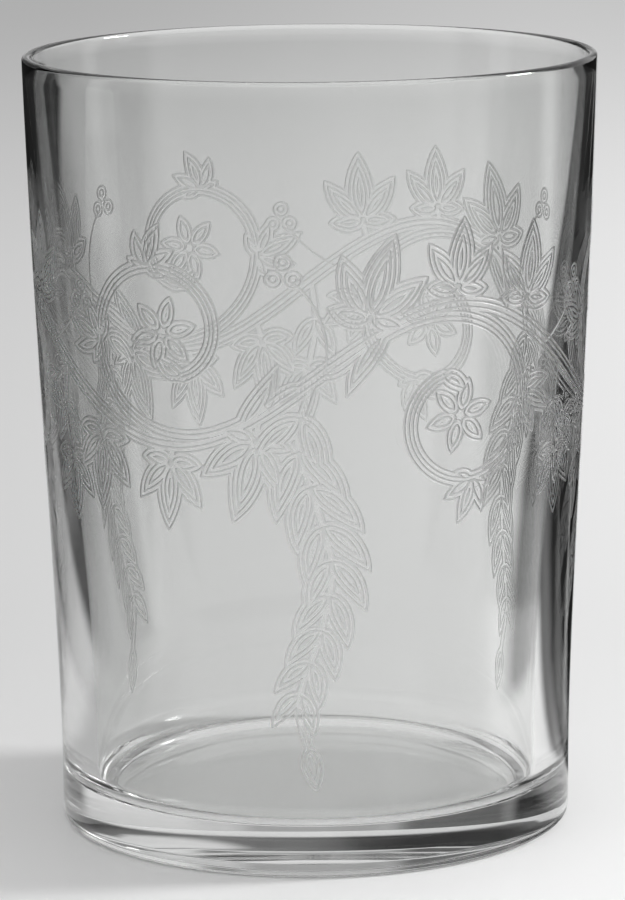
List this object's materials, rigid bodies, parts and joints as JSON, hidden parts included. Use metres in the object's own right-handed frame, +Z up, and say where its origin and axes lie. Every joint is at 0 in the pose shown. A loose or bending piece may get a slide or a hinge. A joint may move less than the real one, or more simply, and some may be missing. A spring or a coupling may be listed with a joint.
{
  "type": "glass tumbler",
  "caption": "Clear one-piece drinking tumbler with a slight taper, a rounded thin rim, an etched band outside and a thick heavy base.",
  "frame": {"origin": "middle of the ring that the glass stands on, in the plane of the table", "axes": "+Z up along the axis of the glass, towards the rim; the glass is round, so +X and +Y are free; the picture looks along +Y"},
  "size_m": [0.0724, 0.0724, 0.0985],
  "materials": {
    "glass": "clear, fire polished, with fine satin etched lines on the outside"
  },
  "bodies": {
    "root": {"glass_body": "glass"}
  },
  "joints": []
}
